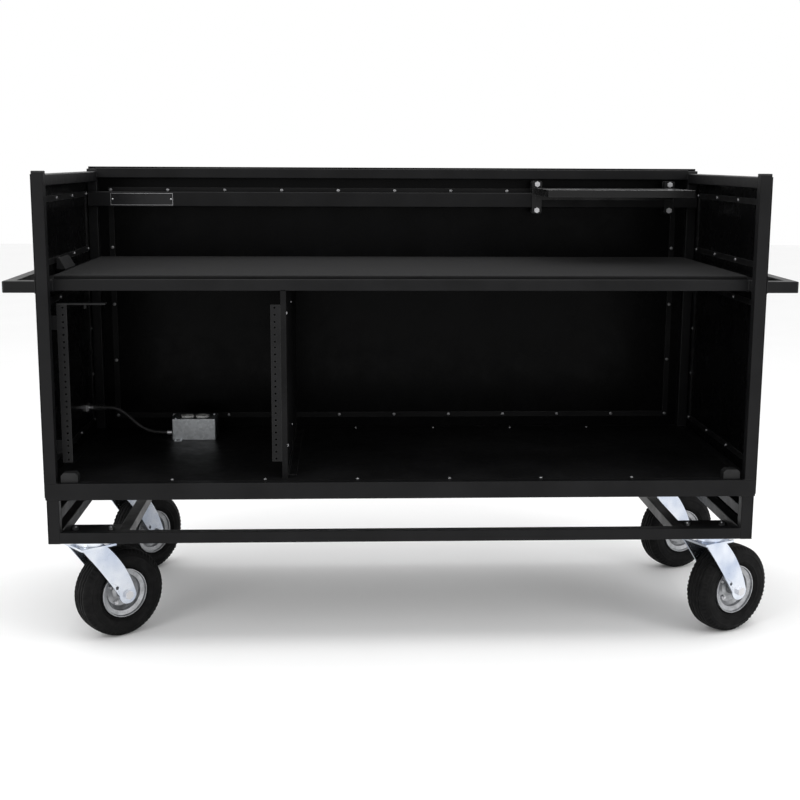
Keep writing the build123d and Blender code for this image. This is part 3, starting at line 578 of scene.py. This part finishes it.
def panel_screws():
    """Every screw of the wall strips, the deck and the divider, each turned as it was left."""
    shape = Shape()
    chance = random.Random(4)
    for group in islands(frame["nodes"]["panel_screws"]):
        low = Vector([min(place[axis] for place in group) for axis in range(3)])
        high = Vector([max(place[axis] for place in group) for axis in range(3)])
        middle = (low + high) / 2
        axis = min(range(3), key=lambda number: (high - low)[number])
        others = [number for number in range(3) if number != axis]
        rims = [place for place in group
                if sum((place[other] - middle[other]) ** 2 for other in others) > (HEAD_RIM * MM) ** 2]
        mean = sum(place[axis] for place in rims) / len(rims)
        side = 1 if mean > middle[axis] else -1
        direction = Vector([side if number == axis else 0 for number in range(3)])
        start = middle - direction * (high - low)[axis] / 2
        pan_screw(along(direction, start) @ turned_by(chance.uniform(0, 90), "Z"), shape)
    mesh = shape.mesh("pan_screws", smooth=False)
    piece = link("pan_screws", mesh, LOOKS["screw_steel"])
    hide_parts("panel_screws")


def badge_border():
    """Thin raised border round the blank name plate, and a rivet at each end."""
    low, high = (Vector(corner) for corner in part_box("badge"))
    shape = Shape()
    inset, wide, proud = 2.2 * MM, 1.1 * MM, 0.5 * MM
    rings = []
    for depth, y in ((0, low.y + 0.1 * MM), (0.3 * MM, low.y - proud), (wide - 0.3 * MM, low.y - proud),
                     (wide, low.y + 0.1 * MM)):
        edge = inset + depth
        rings.append([(low.x + edge, y, low.z + edge), (high.x - edge, y, low.z + edge),
                      (high.x - edge, y, high.z - edge), (low.x + edge, y, high.z - edge)])
    points = [point for ring in rings for point in ring]
    faces = []
    for ring in range(4):
        for corner in range(4):
            after = (corner + 1) % 4
            a, b = ring * 4, (ring + 1) % 4 * 4
            faces.append((a + corner, a + after, b + after, b + corner))
    shape.add(points, faces)
    for x in (low.x + 7 * MM, high.x - 7 * MM):
        rivet = [(0.1, 0), (2.4, 0), (2.2, 0.7), (1.4, 1.2), (0.1, 1.35)]
        place = along((0, -1, 0), (x, low.y, (low.z + high.z) / 2))
        shape.add(*capped(in_metres(rivet), 24), place)
    link("badge_border", shape.mesh("badge_border", smooth=False), LOOKS["gland_steel"])


weld_beads()
panel_screws()
badge_border()

# ---------------------------------------------------------------- supply lead
LEAD_DIAMETER = 0.009
LEAD_ROUTE = [from_posts(*point) for point in (
    (-750.0, 501.0, 468.0),
    (-735.0, 501.0, 468.0),
    (-720.6, 501.6, 464.0),
    (-707.5, 503.0, 456.2),
    (-690.5, 505.5, 440.5),
    (-669.5, 507.5, 419.5),
    (-646.0, 505.5, 406.5),
    (-620.0, 502.0, 401.8),
    (-594.0, 501.0, 401.0),
)]


def lead_boot():
    """Tapered rubber strain relief with the usual rings cut round it."""
    low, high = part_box("lead_boot")
    length = high[0] - low[0]
    wide, narrow, rings = 10 * MM, 6.2 * MM, 6
    profile = [(0.4 * MM, 0), (wide, 0)]
    for ring in range(rings):
        for part, depth in ((0.25, 0), (0.45, 1.3 * MM), (0.75, 1.3 * MM), (0.95, 0)):
            share = (ring + part) / rings
            profile.append((wide + (narrow - wide) * share - depth, length * share))
    profile += [(narrow - 0.3 * MM, length), (0.4 * MM, length)]
    points, faces = capped(profile, 40)
    mesh = mesh_from("strain_relief", points, faces)
    mesh.transform(along((1, 0, 0), (low[0], LEAD_ROUTE[0][1], LEAD_ROUTE[0][2])))
    piece = link("strain_relief", mesh, LOOKS["lead_rubber"])
    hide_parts("lead_boot")
    return piece


def supply_lead():
    curve = bpy.data.curves.new("lead", "CURVE")
    curve.dimensions = "3D"
    curve.bevel_depth = LEAD_DIAMETER / 2
    curve.bevel_resolution = 6
    curve.resolution_u = 12
    curve.use_fill_caps = True
    spline = curve.splines.new("NURBS")
    spline.points.add(len(LEAD_ROUTE) - 1)
    for point, place in zip(spline.points, LEAD_ROUTE):
        point.co = (*place, 1)
    spline.order_u = 3
    spline.use_endpoint_u = True
    lead = link("lead", curve, LOOKS["lead_rubber"])
    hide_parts("supply_lead")
    lead_boot()


supply_lead()


# ---------------------------------------------------------------- carpet
def carpet():
    """Matted carpet over the shelf, its front edge rolled down to the board."""
    low, high = (Vector(corner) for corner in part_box("shelf_carpet"))
    cell, roll = 5 * MM, 2.4 * MM
    columns = round((high.x - low.x) / cell)
    rows = round((high.y - low.y) / cell)
    points, faces = [], []
    for row in range(rows + 1):
        y = low.y + (high.y - low.y) * row / rows
        for column in range(columns + 1):
            x = low.x + (high.x - low.x) * column / columns
            tufts = noise.noise((x * 160, y * 160, 3)) * 0.30 * MM
            waves = noise.noise((x * 24, y * 24, 9)) * 0.25 * MM
            points.append((x, y, high.z - 0.5 * MM + (tufts + waves)))
    width = columns + 1
    for row in range(rows):
        for column in range(columns):
            corner = row * width + column
            faces.append((corner, corner + 1, corner + width + 1, corner + width))
    # the rolled front edge, then the flat underside
    front = list(range(width))
    for step in (1, 2, 3):
        turn = math.pi / 2 * step / 3
        ring = []
        for index in range(width):
            x, _, z = points[index]
            ring.append(len(points))
            points.append((x, low.y + roll * (1 - math.sin(turn)), z - roll * (1 - math.cos(turn))))
        faces += [(front[i + 1], front[i], ring[i], ring[i + 1]) for i in range(width - 1)]
        front = ring
    for index in range(width):
        x, _, z = points[index]
        points[index] = (x, low.y + roll, z)
    underside = low.z + 0.1 * MM
    hem = []
    for index in range(width):
        hem.append(len(points))
        points.append((points[index][0], low.y, underside))
    faces += [(front[i + 1], front[i], hem[i], hem[i + 1]) for i in range(width - 1)]
    back = []
    for index in range(width):
        back.append(len(points))
        points.append((points[index][0], high.y, underside))
    faces += [(hem[i], back[i], back[i + 1], hem[i + 1]) for i in range(width - 1)]
    last_row = rows * width
    faces += [(last_row + i, last_row + i + 1, back[i + 1], back[i]) for i in range(width - 1)]
    for side, flip in ((0, False), (columns, True)):
        rim = [row * width + side for row in range(rows + 1)] + [back[side], hem[side], front[side]]
        faces.append(tuple(rim if flip else reversed(rim)))
    mesh = mesh_from("carpet_sheet", points, faces)
    piece = link("carpet_sheet", mesh, LOOKS["carpet"])
    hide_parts("shelf_carpet")


carpet()

# ---------------------------------------------------------------- wheels
CASTERS = ("fl", "fr", "rl", "rr")
TYRE_BEAD = 50.2            # radius of the tyre's foot on the rim
GROOVES = (-15.0, -6.0, 6.0, 15.0)
GROOVE_HALF = 1.6
GROOVE_DEPTH = 3.6
ZIGZAGS = 30
TYRE_STEPS = 240
TREAD_HALF = 21.0
WHEEL_R = 105.0
CROWN_DROP = 1.4            # the tread's edges lie this far under its middle
ZIGZAG_REACH = 1.1
LUG_SHARE = 0.26            # part of the shoulder's length that is cut between its lugs
LUG_DEPTH = 1.7
LUG_PULL = 1.2

RIM_BOLT_PLACE = 29.0       # from the axle
RIM_BOLT_TURN = 0.4         # of the first bolt, in radians
RIM_BOLT_END = [(0.05, 12), (3.1, 12), (3.1, 15), (2.5, 15.7), (0.05, 15.7)]
VALVE = [(0.1, 0), (4.6, 0), (4.1, 6), (3.4, 13), (3.9, 13.5), (3.9, 20), (3.5, 21), (0.1, 21.4)]
VALVE_CAP = range(4, 7)     # points of VALVE on the knurled cap


def tread_radius(height):
    """The crown of the tread, from its middle to its edges."""
    return WHEEL_R - CROWN_DROP * (height / TREAD_HALF) ** 2


def tyre_profile():
    """(radius, height, kind) points round a tyre's section, in millimetres."""
    wall = [
        (TYRE_BEAD, 17.5), (52.0, 18.9), (55.2, 19.9), (57.0, 21.2), (58.6, 22.9), (61.0, 26.0), (64.1, 28.9),
        (66.0, 30.7), (68.3, 32.0), (68.9, 32.8), (70.2, 32.9), (70.8, 32.6), (74.5, 33.7), (78.8, 34.1),
        (83.6, 33.6), (86.7, 32.8), (87.3, 33.3), (88.8, 33.0), (89.4, 32.1), (92.6, 30.9), (95.3, 29.6),
    ]
    outer = [(radius, height, "wall") for radius, height in wall]
    outer += [(97.5, 28.7, "lug"), (100.1, 26.9, "lug"), (102.1, 24.4, "lug")]
    tread = [(tread_radius(TREAD_HALF), TREAD_HALF, "edge")]
    for middle in reversed(GROOVES):
        for height, deep in ((middle + GROOVE_HALF, 0), (middle + GROOVE_HALF * 0.6, 1),
                             (middle - GROOVE_HALF * 0.6, 1), (middle - GROOVE_HALF, 0)):
            tread.append((tread_radius(height) - deep * GROOVE_DEPTH, height, "groove"))
        if middle == GROOVES[2]:
            tread.append((tread_radius(0), 0.0, "tread"))
    tread.append((tread_radius(TREAD_HALF), -TREAD_HALF, "edge"))
    return outer + tread + [(radius, -height, kind) for radius, height, kind in reversed(outer)]


def triangle_wave(turns):
    return 4 * abs(turns % 1 - 0.5) - 1


def tyre(key, place):
    section = tyre_profile()

    def shift(index, angle, radius, height):
        kind = section[index][2]
        turns = angle / (2 * math.pi)
        if kind == "groove":
            height += ZIGZAG_REACH * triangle_wave(turns * ZIGZAGS)
        if kind == "lug" and (turns * ZIGZAGS * 2) % 1 < LUG_SHARE:
            radius -= LUG_DEPTH
            height -= math.copysign(LUG_PULL, height)
        return radius * MM, height * MM

    profile = [(radius, height) for radius, height, _ in section]
    points, faces = turning(profile, TYRE_STEPS, shift)
    mesh = mesh_from("tyre_%s_tread" % key, points, faces)
    mesh.transform(place)
    piece = link("tyre_%s_tread" % key, mesh, LOOKS["tyre"], "wheel_" + key)
    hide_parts("tyre_" + key)


def hexagon(radius, low, high, place, shape):
    """A hexagonal head with its top corners chamfered."""
    chamfer = 0.12 * radius
    rings = [(radius, low), (radius, high - chamfer), (radius - chamfer, high)]
    shape.add(*capped([(0.02 * MM, low)] + rings + [(0.02 * MM, high)], 6), place)


def wheel_fittings(key, place):
    """Bolts that hold the rim's halves together, on both faces."""
    shape = Shape()
    for step in range(4):
        angle = math.pi / 2 * step + RIM_BOLT_TURN
        spot = (RIM_BOLT_PLACE * MM * math.cos(angle), RIM_BOLT_PLACE * MM * math.sin(angle), 0)
        for face in (0, 180):
            seat = place @ turned_by(face, "X") @ Matrix.Translation(spot)
            hexagon(5.8 * MM, 8 * MM, 12.2 * MM, seat, shape)
            shape.add(*capped(in_metres(RIM_BOLT_END), 16), seat)
    mesh = shape.mesh("rim_bolts_" + key, smooth=False)
    link("rim_bolts_" + key, mesh, LOOKS["bolt_steel"], "wheel_" + key)


def valve_stem(key, place):
    """Rubber valve stem with its knurled cap, in the dish of the rim."""
    def knurl(index, angle, radius, height):
        ridge = 0.25 * MM * math.cos(angle * 12) if index in VALVE_CAP else 0
        return radius + ridge, height

    points, faces = capped(in_metres(VALVE), 48, knurl)
    mesh = mesh_from("valve_" + key, points, faces)
    mesh.transform(place @ Matrix.Translation((40 * MM, 0, 7 * MM)) @ turned_by(-14, "Y"))
    link("valve_" + key, mesh, LOOKS["lead_rubber"], "wheel_" + key)


def joint_named(name):
    return next(joint for joint in frame["joints"] if joint["name"] == name)


for caster in CASTERS:
    roll = joint_named("wheel_%s_roll" % caster)
    wheel_place = along(roll["axis"], roll["pos_m"])
    tyre(caster, wheel_place)
    wheel_fittings(caster, wheel_place)
    valve_stem(caster, wheel_place)


# ---------------------------------------------------------------- floor and light
FLOOR_HALF = 14.0
LAMP_AIM = (0, 0, 0.6)


def floor():
    half = FLOOR_HALF
    corners = [(-half, -half, 0), (half, -half, 0), (half, half, 0), (-half, half, 0)]
    mesh = mesh_from("floor", corners, [(0, 1, 2, 3)])
    look, tree, shader = new_look("floor_paper")
    colour = blend_colours(tree, between(tree, grains(tree, 2, 3), 0, 1), (0.925,) * 3, (0.94,) * 3)
    roughness = between(tree, grains(tree, 30, 3), 0.8, 0.95)
    finish_look(tree, shader, colour, roughness, bumps(tree, (grains(tree, 400, 2), 0.05, 0.1 * MM)),
                Specular_IOR_Level=0.1)
    piece = bpy.data.objects.new("floor", mesh)
    piece.data.materials.append(look)
    bpy.context.scene.collection.objects.link(piece)


def lamp(name, place, aim, size, power):
    data = bpy.data.lights.new(name, "AREA")
    data.shape = "RECTANGLE"
    data.size, data.size_y = size
    data.energy = power
    light = bpy.data.objects.new(name, data)
    direction = Vector(aim) - Vector(place)
    light.matrix_world = Matrix.Translation(place) @ direction.to_track_quat("-Z", "Y").to_matrix().to_4x4()
    bpy.context.scene.collection.objects.link(light)


def studio():
    world = bpy.data.worlds.new("studio")
    world.use_nodes = True
    world.node_tree.nodes["Background"].inputs["Color"].default_value = (1, 1, 1, 1)
    world.node_tree.nodes["Background"].inputs["Strength"].default_value = 1.0
    bpy.context.scene.world = world
    bpy.context.scene.view_settings.view_transform = "Standard"
    lamp("overhead", (0.0, -0.3, 3.2), LAMP_AIM, (3.4, 2.2), 45)
    lamp("front_left", (-2.6, -3.2, 2.2), LAMP_AIM, (1.6, 2.4), 40)
    lamp("front_right", (2.8, -2.6, 1.9), LAMP_AIM, (1.2, 2.4), 30)


floor()
studio()
